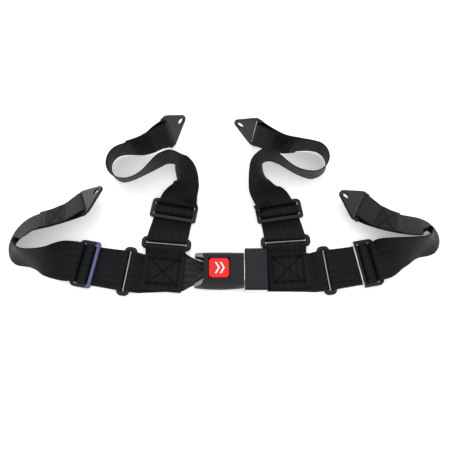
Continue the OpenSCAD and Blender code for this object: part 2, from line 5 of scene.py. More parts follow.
import bmesh
import bpy
import numpy as np
from bpy.props import FloatProperty, FloatVectorProperty, PointerProperty
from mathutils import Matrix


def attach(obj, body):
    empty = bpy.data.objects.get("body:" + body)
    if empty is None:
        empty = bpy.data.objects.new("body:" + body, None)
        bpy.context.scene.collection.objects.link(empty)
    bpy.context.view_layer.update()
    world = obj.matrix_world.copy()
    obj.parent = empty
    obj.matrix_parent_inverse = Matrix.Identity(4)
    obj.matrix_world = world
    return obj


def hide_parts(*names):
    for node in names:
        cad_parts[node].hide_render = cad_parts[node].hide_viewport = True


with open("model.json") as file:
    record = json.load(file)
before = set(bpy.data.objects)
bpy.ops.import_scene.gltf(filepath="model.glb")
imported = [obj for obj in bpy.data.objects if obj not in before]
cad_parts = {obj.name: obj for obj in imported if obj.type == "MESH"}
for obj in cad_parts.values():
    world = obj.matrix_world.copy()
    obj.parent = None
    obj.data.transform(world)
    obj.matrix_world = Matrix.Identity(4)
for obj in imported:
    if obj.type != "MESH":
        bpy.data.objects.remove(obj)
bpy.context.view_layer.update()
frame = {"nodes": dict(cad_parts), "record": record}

bl_info = {
    "name": "Racing harness",
    "version": (1, 0, 0),
    "blender": (4, 5, 0),
    "location": "3D View > Sidebar > Harness",
    "description": "Webbing, stitching, hardware finishes and stage of a four-point racing harness",
    "category": "Object",
}

MM = 0.001
UV_SCALE = 0.05
LEGS = ("left_lap", "right_lap", "left_shoulder", "right_shoulder")

# ---------------------------------------------------------------- sizes and colours


class HarnessWebbing(bpy.types.PropertyGroup):
    """Sizes and colours of the woven webbing."""

    width: FloatProperty(name="Width", description="Width of the webbing", default=0.05, unit="LENGTH")
    thickness: FloatProperty(name="Thickness", description="Thickness of one layer", default=0.0014,
                             unit="LENGTH")
    rib_pitch: FloatProperty(name="Rib pitch", description="Distance between two warp ribs", default=0.0017,
                             unit="LENGTH")
    # Weave colours: the hollows' colour is painted shade, the ribs' colour painted highlight.
    dark: FloatVectorProperty(name="Hollow colour, painted shade", description="Colour in the hollows", subtype="COLOR",
                              size=3, default=(0.0012, 0.0014, 0.0018))
    light: FloatVectorProperty(name="Rib colour, painted highlight", description="Colour on the ribs", subtype="COLOR", size=3,
                               default=(0.0105, 0.0112, 0.0130))


class HarnessThread(bpy.types.PropertyGroup):
    """Sizes and colour of the sewing thread."""

    stitch: FloatProperty(name="Stitch length", description="Length of one stitch", default=0.0032,
                          unit="LENGTH")
    radius: FloatProperty(name="Thread radius", description="Half the thread's thickness", default=0.00046,
                          unit="LENGTH")
    colour: FloatVectorProperty(name="Colour", description="Thread colour", subtype="COLOR", size=3,
                                default=(0.0008, 0.0009, 0.0013))


class HarnessMetal(bpy.types.PropertyGroup):
    """Finishes of the hardware."""

    paint: FloatVectorProperty(name="Paint", description="Painted steel of rings, adjusters and plates",
                               subtype="COLOR", size=3, default=(0.007, 0.008, 0.010))
    cover: FloatVectorProperty(name="Cover plastic", description="Buckle's covers", subtype="COLOR", size=3,
                               default=(0.012, 0.0125, 0.014))
    tongue: FloatVectorProperty(name="Tongue cover", description="Tongue's cover", subtype="COLOR", size=3,
                                default=(0.0055, 0.0068, 0.0095))
    button: FloatVectorProperty(name="Button", description="Push button", subtype="COLOR", size=3,
                                default=(0.72, 0.012, 0.010))


class HarnessStage(bpy.types.PropertyGroup):
    """Floor, light and camera."""

    floor: FloatVectorProperty(name="Floor", description="Floor colour", subtype="COLOR", size=3,
                               default=(0.95, 0.95, 0.95))
    light: FloatProperty(name="Light", description="Strength of the room's light", default=1.0, min=0.0)


# ---------------------------------------------------------------- meshes


def piece(name, verts, faces, material, body, uv=None, smooth=True):
    """One mesh from whole arrays: verts (n, 3) in metres, faces a list of quads or n-gons, uv (n, 2) per
    vertex."""
    mesh = bpy.data.meshes.new(name)
    mesh.from_pydata(verts.tolist(), [], faces.tolist() if isinstance(faces, np.ndarray) else faces)
    if uv is not None:
        layer = mesh.uv_layers.new(name="UVMap")
        loops = np.empty(len(mesh.loops), dtype=np.int32)
        mesh.loops.foreach_get("vertex_index", loops)
        layer.data.foreach_set("uv", uv[loops].astype(np.float32).ravel())
    if smooth:
        mesh.polygons.foreach_set("use_smooth", np.ones(len(mesh.polygons), dtype=bool))
    mesh.materials.append(material)
    mesh.update()
    obj = bpy.data.objects.new(name, mesh)
    bpy.context.scene.collection.objects.link(obj)
    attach(obj, body)
    return obj


def unit(v):
    return v / np.linalg.norm(v, axis=-1, keepdims=True)


def resample(path, step, *others):
    """The path at equal distances, by linear interpolation over its arc length; others follow it."""
    s = np.r_[0, np.cumsum(np.linalg.norm(np.diff(path, axis=0), axis=1))]
    n = max(int(round(s[-1] / step)), 2)
    t = np.linspace(0, s[-1], n + 1)
    pick = lambda a: np.stack([np.interp(t, s, a[:, k]) for k in range(a.shape[1])], 1)
    return [pick(path)] + [pick(o) for o in others]


def soften(a, sigma):
    """Gaussian average along the first axis, with its ends held."""
    r = int(3 * sigma) + 1
    w = np.exp(-0.5 * (np.arange(-r, r + 1) / sigma) ** 2)
    w /= w.sum()
    head = 2 * a[:1] - a[r:0:-1]
    tail = 2 * a[-1:] - a[-2:-r - 2:-1]
    p = np.concatenate([head, a, tail])
    return np.stack([np.convolve(p[:, k], w, "valid") for k in range(a.shape[1])], 1)


def catmull(p, n):
    """Catmull-Rom curve through the stations p, n steps to each span: the usual cubic of four
    neighbours."""
    q = np.concatenate([p[:1], p, p[-1:]])
    a, b, c, d = q[:-3], q[1:-2], q[2:-1], q[3:]
    t = (np.arange(n) / n)[None, :, None]
    a, b, c, d = (x[:, None, :] for x in (a, b, c, d))
    out = 0.5 * (2 * b + (c - a) * t + (2 * a - 5 * b + 4 * c - d) * t**2 + (3 * b - a - 3 * c + d) * t**3)
    return np.concatenate([out.reshape(-1, p.shape[1]), p[-1:]])


def ribbon(name, centre, across, half, thick, material, body, columns=25):
    """Webbing as one closed surface: point (s, u) = centre(s) + across(s) * u + normal(s) * h(u), where u
    runs over the top from edge to edge and back underneath, and the two selvages are half circles of the
    thickness. UV is (u, s) in metres over UV_SCALE."""
    n = len(centre)
    tangent = unit(np.gradient(centre, axis=0))
    normal = unit(np.cross(tangent, across))
    a = np.linspace(-1, 1, columns)
    arc = np.radians([60, 30, 0, -30, -60])
    r = thick / 2
    flat, bend = half - r, r * np.cos(arc)
    u = np.concatenate([flat * a, flat + bend, flat * a[::-1], -flat - bend[::-1]])
    h = np.concatenate([np.full(columns, r), r * np.sin(arc), np.full(columns, -r), r * np.sin(arc[::-1])])
    v = centre[:, None, :] + across[:, None, :] * u[:, None] + normal[:, None, :] * h[:, None]
    m = len(u)
    s = np.r_[0, np.cumsum(np.linalg.norm(np.diff(centre, axis=0), axis=1))]
    uv = np.stack(np.broadcast_arrays(u / UV_SCALE + 0.5, s[:, None] / UV_SCALE), 2)
    i, j = np.meshgrid(np.arange(n - 1), np.arange(m), indexing="ij")
    a0, b0 = i * m + j, i * m + (j + 1) % m
    walls = np.stack([a0, a0 + m, b0 + m, b0], 2).reshape(-1, 4)
    k = np.arange(columns - 1)
    strip = np.stack([k, k + 1, 2 * columns + 3 - k, 2 * columns + 4 - k], 1)
    near_selvage = list(range(columns - 1, columns + 6))
    far_selvage = list(range(2 * columns + 4, m)) + [0]
    caps = strip.tolist() + [near_selvage, far_selvage]
    faces = walls.tolist() + caps + [[x + (n - 1) * m for x in c[::-1]] for c in caps]
    obj = piece(name, v.reshape(-1, 3), faces, material, body, uv.reshape(-1, 2))
    orient(obj)
    return obj


def orient(obj):
    """Faces of a closed mesh turned outwards."""
    bm = bmesh.new()
    bm.from_mesh(obj.data)
    bmesh.ops.recalc_face_normals(bm, faces=bm.faces)
    bm.to_mesh(obj.data)
    bm.free()


def stitches(name, lines, material, body, length, radius):
    """Sewn lines: lines is a list of (points, normals); each stitch is a small closed lozenge bar that lies
    along its line, arched by a half sine, with a third of its length as the gap to the next."""
    mids, dirs, norms, lens = [], [], [], []
    for pts, nor in lines:
        s = np.r_[0, np.cumsum(np.linalg.norm(np.diff(pts, axis=0), axis=1))]
        n = max(int(round(s[-1] / length)), 1)
        c = (np.arange(n) + 0.5) * s[-1] / n
        at = lambda x, a: np.stack([np.interp(x, s, a[:, k]) for k in range(3)], 1)
        w = 0.38 * s[-1] / n
        p, q = at(c - w, pts), at(c + w, pts)
        mids.append((p + q) / 2)
        dirs.append(unit(q - p))
        lens.append(np.linalg.norm(q - p, axis=1) / 2)
        norms.append(unit(at(c, nor)))
    mid, d, nrm, half = (np.concatenate(x) for x in (mids, dirs, norms, lens))
    side = unit(np.cross(nrm, d))
    t = np.linspace(-1, 1, 6)
    ring = np.radians([0, 60, 120, 180, 240, 300])
    swell = np.sqrt(np.clip(1 - t**6, 0.12, 1))
    rise = radius * (1.1 * np.cos(t * math.pi / 2) - 0.55)
    v = (mid[:, None, None] + d[:, None, None] * (half[:, None] * t)[:, :, None, None]
         + side[:, None, None] * (radius * swell[:, None] * np.cos(ring))[None, :, :, None]
         + nrm[:, None, None] * (radius * 0.8 * swell[:, None] * np.sin(ring) + rise[:, None])[None, :, :,
                                                                                               None])
    base = (np.arange(len(mid)) * 36)[:, None]
    i, j = np.meshgrid(np.arange(5), np.arange(6), indexing="ij")
    q = np.stack([i * 6 + j, i * 6 + (j + 1) % 6, (i + 1) * 6 + (j + 1) % 6, (i + 1) * 6 + j],
                 2).reshape(-1, 4)
    quads = (base[:, :, None] + q[None]).reshape(-1, 4).tolist()
    starts = base[:, 0].tolist()
    ends = [[b + k for k in range(6)][::-1] for b in starts]
    ends += [[b + 30 + k for k in range(6)] for b in starts]
    obj = piece(name, v.reshape(-1, 3), quads + ends, material, body)
    orient(obj)
    return obj


def eased(node, width, material, segments=3, angle=28):
    """The CAD node's own shape with its sharp edges rounded: its triangles merged and flat faces joined in
    a copy."""
    source = frame["nodes"][node]
    bm = bmesh.new()
    bm.from_mesh(source.data)
    bm.transform(source.matrix_world)
    bmesh.ops.remove_doubles(bm, verts=bm.verts, dist=2e-6)
    bmesh.ops.dissolve_limit(bm, angle_limit=math.radians(1.0), verts=bm.verts, edges=bm.edges)
    bmesh.ops.recalc_face_normals(bm, faces=bm.faces)
    sharp = [e for e in bm.edges if len(e.link_faces) == 2 and e.calc_face_angle(0) > math.radians(angle)]
    bmesh.ops.bevel(bm, geom=sharp, offset=width, segments=segments, profile=0.6, affect="EDGES",
                    clamp_overlap=True)
    bmesh.ops.triangulate(bm, faces=[f for f in bm.faces if len(f.verts) > 4])
    mesh = bpy.data.meshes.new(node + "_eased")
    bm.to_mesh(mesh)
    bm.free()
    mesh.polygons.foreach_set("use_smooth", np.ones(len(mesh.polygons), dtype=bool))
    mesh.materials.append(material)
    obj = bpy.data.objects.new(node + "_eased", mesh)
    bpy.context.scene.collection.objects.link(obj)
    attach(obj, NODE_BODY[node])
    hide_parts(node)
    weighted = obj.modifiers.new("Even shading", "WEIGHTED_NORMAL")
    weighted.keep_sharp = True
    return obj


NODE_BODY = {n: b for b, nodes in frame["record"]["behaviour"]["bodies"].items() for n in nodes}

# ---------------------------------------------------------------- materials


def new_material(name):
    mat = bpy.data.materials.new(name)
    mat.use_nodes = True
    tree = mat.node_tree
    return mat, tree, tree.nodes["Principled BSDF"]


def nodes_link(tree, kind, **inputs):
    """A node with constants or links on its named inputs."""
    node = tree.nodes.new(kind)
    for key, value in inputs.items():
        key = key.replace("_", " ")
        if isinstance(value, bpy.types.NodeSocket):
            tree.links.new(value, node.inputs[key])
        else:
            node.inputs[key].default_value = value
    return node


def math_node(tree, operation, a, b=0.0, c=0.0):
    node = tree.nodes.new("ShaderNodeMath")
    node.operation = operation
    for k, value in enumerate((a, b, c)):
        if isinstance(value, bpy.types.NodeSocket):
            tree.links.new(value, node.inputs[k])
        else:
            node.inputs[k].default_value = value
    return node.outputs[0]


def mix_colour(tree, factor, a, b):
    node = tree.nodes.new("ShaderNodeMix")
    node.data_type = "RGBA"
    for k, value in ((0, factor), (6, a), (7, b)):
        if isinstance(value, bpy.types.NodeSocket):
            tree.links.new(value, node.inputs[k])
        else:
            node.inputs[k].default_value = value if k == 0 else (*value, 1.0)
    return node.outputs[2]


def webbing_material(name, sizes, warmth=0.0):
    """Seat-belt weave on the UV map: warp ribs across u, each with a twill slant that turns over from rib
    to rib, broad lighter and darker bands along it, lint and a slight wear along the selvages. Its colour
    runs from painted shade in the hollows to painted highlight on the ribs."""
    mat, tree, shader = new_material(name)
    uv = tree.nodes.new("ShaderNodeUVMap")
    uv.uv_map = "UVMap"
    sep = tree.nodes.new("ShaderNodeSeparateXYZ")
    tree.links.new(uv.outputs[0], sep.inputs[0])
    ribs = sizes.width / sizes.rib_pitch
    u, v = sep.outputs[0], sep.outputs[1]
    # rib height: a rectified cosine over u
    rib = math_node(tree, "ABSOLUTE", math_node(tree, "SINE",
                                                math_node(tree, "MULTIPLY", u, math.pi * ribs)))
    # twill: slanted picks, their slant mirrored from one rib to the next
    slant = math_node(tree, "PINGPONG", math_node(tree, "MULTIPLY", u, ribs / 2), 1.0)
    pick = math_node(tree, "SINE", math_node(tree, "MULTIPLY_ADD", v, 2 * math.pi * 42,
                                             math_node(tree, "MULTIPLY", slant, 2 * math.pi * 0.8)))
    pick = math_node(tree, "MULTIPLY_ADD", pick, 0.5, 0.5)
    weave = math_node(tree, "MULTIPLY_ADD", pick, 0.35, math_node(tree, "MULTIPLY", rib, 0.65))
    coarse = nodes_link(tree, "ShaderNodeTexNoise", Scale=3.0, Detail=3.0, Roughness=0.6)
    stretch = nodes_link(tree, "ShaderNodeMapping", Vector=uv.outputs[0])
    stretch.inputs["Scale"].default_value = (7.0, 0.5, 1.0)
    tree.links.new(stretch.outputs[0], coarse.inputs["Vector"])
    lint = nodes_link(tree, "ShaderNodeTexNoise", Scale=55.0, Detail=2.0, Roughness=0.7,
                      Vector=uv.outputs[0])
    # soft lighter and darker bands that run along the webbing, a sixth of its width apart
    stripe = math_node(tree, "SINE", math_node(tree, "MULTIPLY", u, 2 * math.pi * 6))
    band = math_node(tree, "MULTIPLY_ADD", coarse.outputs["Fac"], 0.9,
                     math_node(tree, "MULTIPLY_ADD", stripe, 0.22, -0.2))
    tone = math_node(tree, "MULTIPLY", weave, math_node(tree, "MULTIPLY_ADD", lint.outputs["Fac"], 0.8,
                                                        band))
    edge = math_node(tree, "ABSOLUTE", math_node(tree, "SUBTRACT", u, 0.5))
    selvage = nodes_link(tree, "ShaderNodeMapRange", Value=edge)
    selvage.inputs["From Min"].default_value = 0.455
    selvage.inputs["From Max"].default_value = 0.495
    tone = math_node(tree, "MULTIPLY_ADD", selvage.outputs[0], 0.25, tone)
    tone_clamped = math_node(tree, "MINIMUM", math_node(tree, "MAXIMUM", tone, 0.0), 1.0)
    light = tuple(sizes.light)
    # left lap webbing's rib colour lighter and warmer right of x = -44 mm, towards the buckle
    if warmth:
        place = tree.nodes.new("ShaderNodeSeparateXYZ")
        tree.links.new(tree.nodes.new("ShaderNodeTexCoord").outputs["Object"], place.inputs[0])
        near_buckle = nodes_link(tree, "ShaderNodeMapRange", Value=place.outputs[0])
        near_buckle.inputs["From Min"].default_value = -0.054
        near_buckle.inputs["From Max"].default_value = -0.044
        light = mix_colour(tree, near_buckle.outputs[0], light,
                           tuple(np.array(light) * (1 + np.array([6.0, 4.2, 3.8]) * warmth)))
    # weave colour from hollows to ribs: painted shade and painted highlight
    tree.links.new(mix_colour(tree, tone_clamped, tuple(sizes.dark), light), shader.inputs["Base Color"])
    rough = math_node(tree, "MULTIPLY_ADD", lint.outputs["Fac"], 0.25, 0.42)
    tree.links.new(rough, shader.inputs["Roughness"])
    shader.inputs["Specular IOR Level"].default_value = 0.10
    shader.inputs["Sheen Weight"].default_value = 0.02
    shader.inputs["Sheen Roughness"].default_value = 0.45
    shader.inputs["Sheen Tint"].default_value = (0.55, 0.60, 0.72, 1.0)
    height = math_node(tree, "MULTIPLY_ADD", lint.outputs["Fac"], 0.3, weave)
    bump = nodes_link(tree, "ShaderNodeBump", Strength=0.6, Distance=0.0003, Height=height)
    tree.links.new(bump.outputs[0], shader.inputs["Normal"])
    return mat


def thread_material(colour):
    """Twisted thread: fine slanted grooves over a dark yarn, its colour darker in the grooves as painted
    shade.
    """
    mat, tree, shader = new_material("Sewing thread")
    coord = tree.nodes.new("ShaderNodeTexCoord")
    wave = nodes_link(tree, "ShaderNodeTexWave", Vector=coord.outputs["Object"], Scale=900.0,
                      Distortion=1.0)
    wave.bands_direction = "DIAGONAL"
    light = tuple(np.array(colour) * 1.8)
    # yarn darker in the grooves, lighter on the twists: painted shade and painted highlight
    tree.links.new(mix_colour(tree, wave.outputs["Fac"], tuple(colour), light), shader.inputs["Base Color"])
    shader.inputs["Roughness"].default_value = 0.5
    shader.inputs["Specular IOR Level"].default_value = 0.04
    bump = nodes_link(tree, "ShaderNodeBump", Strength=0.4, Distance=0.0001, Height=wave.outputs["Fac"])
    tree.links.new(bump.outputs[0], shader.inputs["Normal"])
    return mat


def surface_material(name, colour, rough, metallic=0.0, coat=0.0, grain=900.0, depth=0.00006, wear=0.3,
                     spec=0.5):
    """Painted or moulded surface: fine grain in the bump, soft blotches in gloss, and tone that drifts with
    them."""
    mat, tree, shader = new_material(name)
    coord = tree.nodes.new("ShaderNodeTexCoord")
    fine = nodes_link(tree, "ShaderNodeTexNoise", Vector=coord.outputs["Object"], Scale=grain, Detail=3.0,
                      Roughness=0.65)
    broad = nodes_link(tree, "ShaderNodeTexNoise", Vector=coord.outputs["Object"], Scale=70.0, Detail=4.0,
                       Roughness=0.6)
    tone = math_node(tree, "MULTIPLY_ADD", fine.outputs["Fac"], 0.4,
                     math_node(tree, "MULTIPLY", broad.outputs["Fac"], 0.6))
    c = np.array(colour)
    tree.links.new(mix_colour(tree, tone, tuple(c * (1 - wear)), tuple(c * (1 + wear))),
                   shader.inputs["Base Color"])
    tree.links.new(math_node(tree, "MULTIPLY_ADD", broad.outputs["Fac"], 0.22, rough - 0.11),
                   shader.inputs["Roughness"])
    shader.inputs["Metallic"].default_value = metallic
    shader.inputs["Specular IOR Level"].default_value = spec
    shader.inputs["Coat Weight"].default_value = coat
    shader.inputs["Coat Roughness"].default_value = 0.2
    bump = nodes_link(tree, "ShaderNodeBump", Strength=0.5, Distance=depth, Height=fine.outputs["Fac"])
    tree.links.new(bump.outputs[0], shader.inputs["Normal"])
    return mat


def brushed_material(name, colour, rough, along=(1.0, 30.0, 30.0), shaded_left_of=None):
    """Drawn or brushed steel: noise stretched along the brushing in colour, gloss and bump. Given an x as
    the last argument, the steel left of it is near black: painted shade where the blade goes into the
    buckle."""
    mat, tree, shader = new_material(name)
    coord = tree.nodes.new("ShaderNodeTexCoord")
    stretch = nodes_link(tree, "ShaderNodeMapping", Vector=coord.outputs["Object"])
    stretch.inputs["Scale"].default_value = along
    fine = nodes_link(tree, "ShaderNodeTexNoise", Vector=stretch.outputs[0], Scale=60.0, Detail=4.0,
                      Roughness=0.7)
    c = np.array(colour)
    tone, low = fine.outputs["Fac"], c * 0.8
    if shaded_left_of is not None:
        sep = tree.nodes.new("ShaderNodeSeparateXYZ")
        tree.links.new(coord.outputs["Object"], sep.inputs[0])
        out_of_shade = nodes_link(tree, "ShaderNodeMapRange", Value=sep.outputs[0])
        out_of_shade.inputs["From Min"].default_value = shaded_left_of - 0.002
        out_of_shade.inputs["From Max"].default_value = shaded_left_of
        # near-black steel left of that x: painted shade inside the buckle
        tone, low = math_node(tree, "MULTIPLY", out_of_shade.outputs[0],
                              math_node(tree, "MULTIPLY_ADD", tone, 0.3, 0.7)), c * 0.02
    tree.links.new(mix_colour(tree, tone, tuple(low), tuple(np.minimum(c * 1.15, 1))),
                   shader.inputs["Base Color"])
    tree.links.new(math_node(tree, "MULTIPLY_ADD", fine.outputs["Fac"], 0.2, rough - 0.1),
                   shader.inputs["Roughness"])
    shader.inputs["Metallic"].default_value = 1.0
    bump = nodes_link(tree, "ShaderNodeBump", Strength=0.3, Distance=0.00005, Height=fine.outputs["Fac"])
    tree.links.new(bump.outputs[0], shader.inputs["Normal"])
    return mat


def painted_reflection_material(name, paint, steel, leg, start):
    """Painted slide with a painted reflection on its ring's side, from `start` mm off its middle: there the
    paint gives way to the given steel colour, made metallic, to stand in for the light that the slide
    mirrors."""
    mat, tree, shader = new_material(name)
    coord = tree.nodes.new("ShaderNodeTexCoord")
    x, y = RINGS[leg][0]
    angle, reach = STRAPS[leg][:2]
    ahead = direction(angle)
    middle = np.array([x, y, 0.0]) + reach * ahead
    dot = tree.nodes.new("ShaderNodeVectorMath")
    dot.operation = "DOT_PRODUCT"
    dot.inputs[1].default_value = tuple(-ahead)
    tree.links.new(coord.outputs["Object"], dot.inputs[0])
    blotch = nodes_link(tree, "ShaderNodeTexNoise", Vector=coord.outputs["Object"], Scale=260.0, Detail=4.0,
                        Roughness=0.65)
    place = math_node(tree, "MULTIPLY_ADD", blotch.outputs["Fac"], 0.0012, dot.outputs["Value"])
    reflection_mask = nodes_link(tree, "ShaderNodeMapRange", Value=place)
    limit = (-(middle @ ahead) + start) * MM + 0.0006
    reflection_mask.inputs["From Min"].default_value = limit - 0.0002
    reflection_mask.inputs["From Max"].default_value = limit + 0.0002
    # paint mixed to the steel colour past the limit: painted reflection on the slide's ring side
    tree.links.new(mix_colour(tree, reflection_mask.outputs[0], tuple(paint), steel), shader.inputs["Base Color"])
    tree.links.new(math_node(tree, "MULTIPLY", reflection_mask.outputs[0], 0.9), shader.inputs["Metallic"])
    tree.links.new(math_node(tree, "MULTIPLY_ADD", blotch.outputs["Fac"], 0.25, 0.25),
                   shader.inputs["Roughness"])
    shader.inputs["Specular IOR Level"].default_value = 0.18
    bump = nodes_link(tree, "ShaderNodeBump", Strength=0.3, Distance=0.00005, Height=blotch.outputs["Fac"])
    tree.links.new(bump.outputs[0], shader.inputs["Normal"])
    return mat


def material(key):
    """Each named finish, made the first time that it is asked for."""
    found = bpy.data.materials.get(key)
    if found:
        return found
    scene = bpy.context.scene
    web, metal = scene.harness_webbing, scene.harness_metal
    if key == "Black webbing":
        return webbing_material(key, web)
    if key == "Lap webbing":
        return webbing_material(key, web, 0.6)
    if key == "Sewing thread":
        return thread_material(scene.harness_thread.colour)
    if key == "Painted steel":
        return surface_material(key, metal.paint, 0.36, 0.0, 0.04, 700.0, spec=0.18)
    # left lap slide: blue metallic band as painted reflection on its ring side
    if key == "Slide with painted reflection":
        return painted_reflection_material(key, metal.paint, (0.075, 0.085, 0.17), "left_lap", 6.6)
    # right lap slide: bright steel line along its ring-side edge as painted highlight
    if key == "Slide edge with painted highlight":
        return painted_reflection_material(key, metal.paint, (0.70, 0.71, 0.74), "right_lap", 11.6)
    if key == "Bright steel":
        return brushed_material(key, (0.72, 0.73, 0.76), 0.24)
    if key == "Cover plastic":
        return surface_material(key, metal.cover, 0.48, 0.0, 0.0, 1300.0, 0.00008, 0.2, 0.14)
    # tongue blade, near black inside the buckle as painted shade
    if key == "Blade steel":
        return brushed_material(key, (0.72, 0.71, 0.66), 0.28, shaded_left_of=0.0235)
    # inner steel of the buckle made near black: painted shade in the buckle's gaps
    if key == "Steel with painted shade":
        return brushed_material(key, (0.05, 0.05, 0.055), 0.45)
    # lighter grey for bevels that face the lamps: painted highlight
    if key == "Bevel painted highlight":
        return surface_material(key, (0.22, 0.22, 0.24), 0.42, 0.0, 0.0, 1300.0, 0.00008, 0.2)
    if key == "Tongue paint":
        return surface_material(key, metal.tongue, 0.34, 0.0, 0.05, 500.0, 0.00003, 0.12, 0.16)
    if key == "Button red":
        return surface_material(key, metal.button, 0.38, 0.0, 0.03, 1100.0, 0.00004, 0.05, 0.2)
    if key == "Printed white":
        return surface_material(key, (0.85, 0.85, 0.84), 0.5, 0.0, 0.0, 1500.0, 0.00004, 0.04)
    raise KeyError(key)


# ---------------------------------------------------------------- the harness's own layout, in millimetres
# Heights of a strap's lower run, its upper run, the adjuster plate's underside and webbing on the adjuster.
RUN_Z, RETURN_Z, PLATE_Z, STRAP_TOP = 0.9, 2.6, 3.6, 8.6
# Radius of the webbing's middle round a ring's wire, and the wire's distance from the ring's centre.
WRAP_R, BAR_OFFSET = 4.0, 5.25
# Adjuster from its middle: half its middle bar, its two edges, the far bar's width and the far window's.
MIDDLE, NEAR_EDGE, FAR_EDGE, FAR_BAR, FAR_WINDOW = 4.25, 12.45, 14.05, 4.6, 5.2
# Each leg's ring: its centre, its height and its heading.
RINGS = {
    "left_lap": ((-118, 0), 4.9, 172),
    "right_lap": ((130, 1), 4.9, 7),
    "left_shoulder": ((-70, 34.5), 7.9, 85),
    "right_shoulder": ((80, 37.5), 7.9, 94),
}
# Each strap: its heading, its reach from ring to adjuster, the side of its second edge, and its drift and
# roll where it leaves the adjuster.
STRAPS = {
    "left_lap": (170, 52, -1, 0, 2),
    "right_lap": (10, 52, 1, 0, 2),
    "left_shoulder": (80, 46, -1, 5, 6),
    "right_shoulder": (99, 42, 1, 8, 5),
}
# Each strap's free run by stations: x, y, height of its middle, and roll.
ROUTES = {
    "left_lap": [
        (-206, 9, 18.3, 46), (-222, 8, 24, 68), (-238, 11, 25, 78), (-249, 16, 24, 72),
        (-255, 23, 22, 60), (-255, 33, 20.4, 52), (-252, 42, 19.3, 48), (-247, 50, 19, 46),
        (-239, 57, 19, 45), (-229, 61, 19, 44), (-216, 65, 18, 43), (-203, 70, 18, 41),
        (-190, 75, 18, 40), (-177, 81, 18, 38)],
    "right_lap": [
        (214, 18, 19, 46), (230, 21, 24, 64), (245, 25, 25, 74), (255, 30, 24, 68),
        (261, 37, 22, 57), (260, 46, 20, 49), (256, 51, 19, 46), (249, 54, 18, 43),
        (238, 56, 17, 41), (225, 58, 17, 39), (212, 62, 16, 36), (200, 67, 15, 32),
        (188, 73, 14, 29), (177, 79, 14, 27)],
    "left_shoulder": [
        (-51, 101, 16, 24), (-47, 111, 19, 39), (-47, 123, 23, 56), (-54, 137, 24, 73),
        (-61, 145, 26, 92), (-71, 147, 26, 98), (-83, 141, 26, 98), (-95, 131, 26, 104),
        (-107, 121, 26, 110), (-120, 115, 26, 111), (-132, 116, 26, 106), (-141, 124, 26, 97),
        (-145, 136, 26, 86), (-143, 148, 26, 78), (-135, 156, 26, 76), (-122, 159, 26, 80),
        (-107, 161, 27, 87), (-94, 166, 28, 92), (-82, 172, 30, 95), (-71, 176, 31, 99)],
    "right_shoulder": [
        (58, 97, 15.5, 22), (51, 107, 18, 36), (47, 120, 22, 55), (46, 135, 24, 70),
        (52, 147, 26, 90), (62, 150, 26, 99), (73, 145, 26, 102), (84, 136, 26, 105),
        (95, 128, 26, 107), (107, 123, 26, 106), (119, 122, 26, 103), (129, 128, 26, 97),
        (135, 138, 26, 88), (135, 150, 26, 80), (128, 160, 26, 76), (115, 164, 26, 77),
        (100, 165, 26, 81), (86, 165, 27, 86), (73, 168, 28, 90), (60, 174, 30, 93),
        (48, 182, 31, 95)],
}
FOLD_SIDE = {"left_lap": 1, "right_lap": -1, "left_shoulder": 1, "right_shoulder": 1}
# Radius of the webbing's middle round the edge of an anchor plate, whose bar there is 4.6 mm by 3 mm.
BAR_WRAP = math.hypot(4.6, 3.0) / 2 + 1.0
# Curve steps to a station, and the steps that the folded end goes back along its own run.
STEPS_PER_STATION, FOLD_STEPS = 6, 24
# Distance between the middles of two layers that lie on each other.
LAYER_PITCH = 1.7
# Middles of a folded belt's two layers above its underside, and the height of the patches' stitches.
LOWER_LAYER, UPPER_LAYER, PATCH_THREAD_Z = 0.7, 2.1, 5.82


def direction(angle):
    return np.array([math.cos(math.radians(angle)), math.sin(math.radians(angle)), 0.0])


def strap_side_view(ring_z, reach):
    """The strap near its hardware as (distance, height, drift): round the adjuster's middle bar, back to
    the ring, round its bar, out under the adjuster and up over the far bar."""
    a, h, top = reach, MIDDLE + 1.0, STRAP_TOP
    rise = MIDDLE + FAR_WINDOW - LAYER_PITCH
    turn = np.radians(np.arange(90, 271, 15))
    loop = np.stack([BAR_OFFSET + WRAP_R * np.cos(turn), ring_z + WRAP_R * np.sin(turn), 0 * turn], 1)
    first = [(a - h + 1.3, RETURN_Z, 0), (a + h - 0.8, RETURN_Z, 0), (a + h, RETURN_Z + 0.8, 0),
             (a + h, top - 1.2, 0), (a + h - 1.2, top + 0.3, 0), (a, top + 1, 0), (a - h + 1.2, top + 0.3,
                                                                                   0),
             (a - h, top - 1.2, 0), (a - h, RETURN_Z + 1.2, 0), (a - h - 1.2, RETURN_Z, 0),
             (a - NEAR_EDGE - 2, RETURN_Z, 0), (BAR_OFFSET + 12, ring_z + 0.8, 0)]
    last = [(BAR_OFFSET + 8, RUN_Z, 0), (a - NEAR_EDGE + 2, RUN_Z, 0), (a + h - 2, RUN_Z, 0),
            (a + h + 0.6, RUN_Z + 1, 0), (a + rise - 0.5, PLATE_Z, 0), (a + rise, PLATE_Z + 3.4, 0),
            (a + FAR_EDGE - FAR_BAR - 0.2, top + 1, 0.3), (a + FAR_EDGE - FAR_BAR / 2, top + 2.2, 0.8),
            (a + FAR_EDGE + 0.2, top + 3, 1)]
    return np.concatenate([first, loop, last])


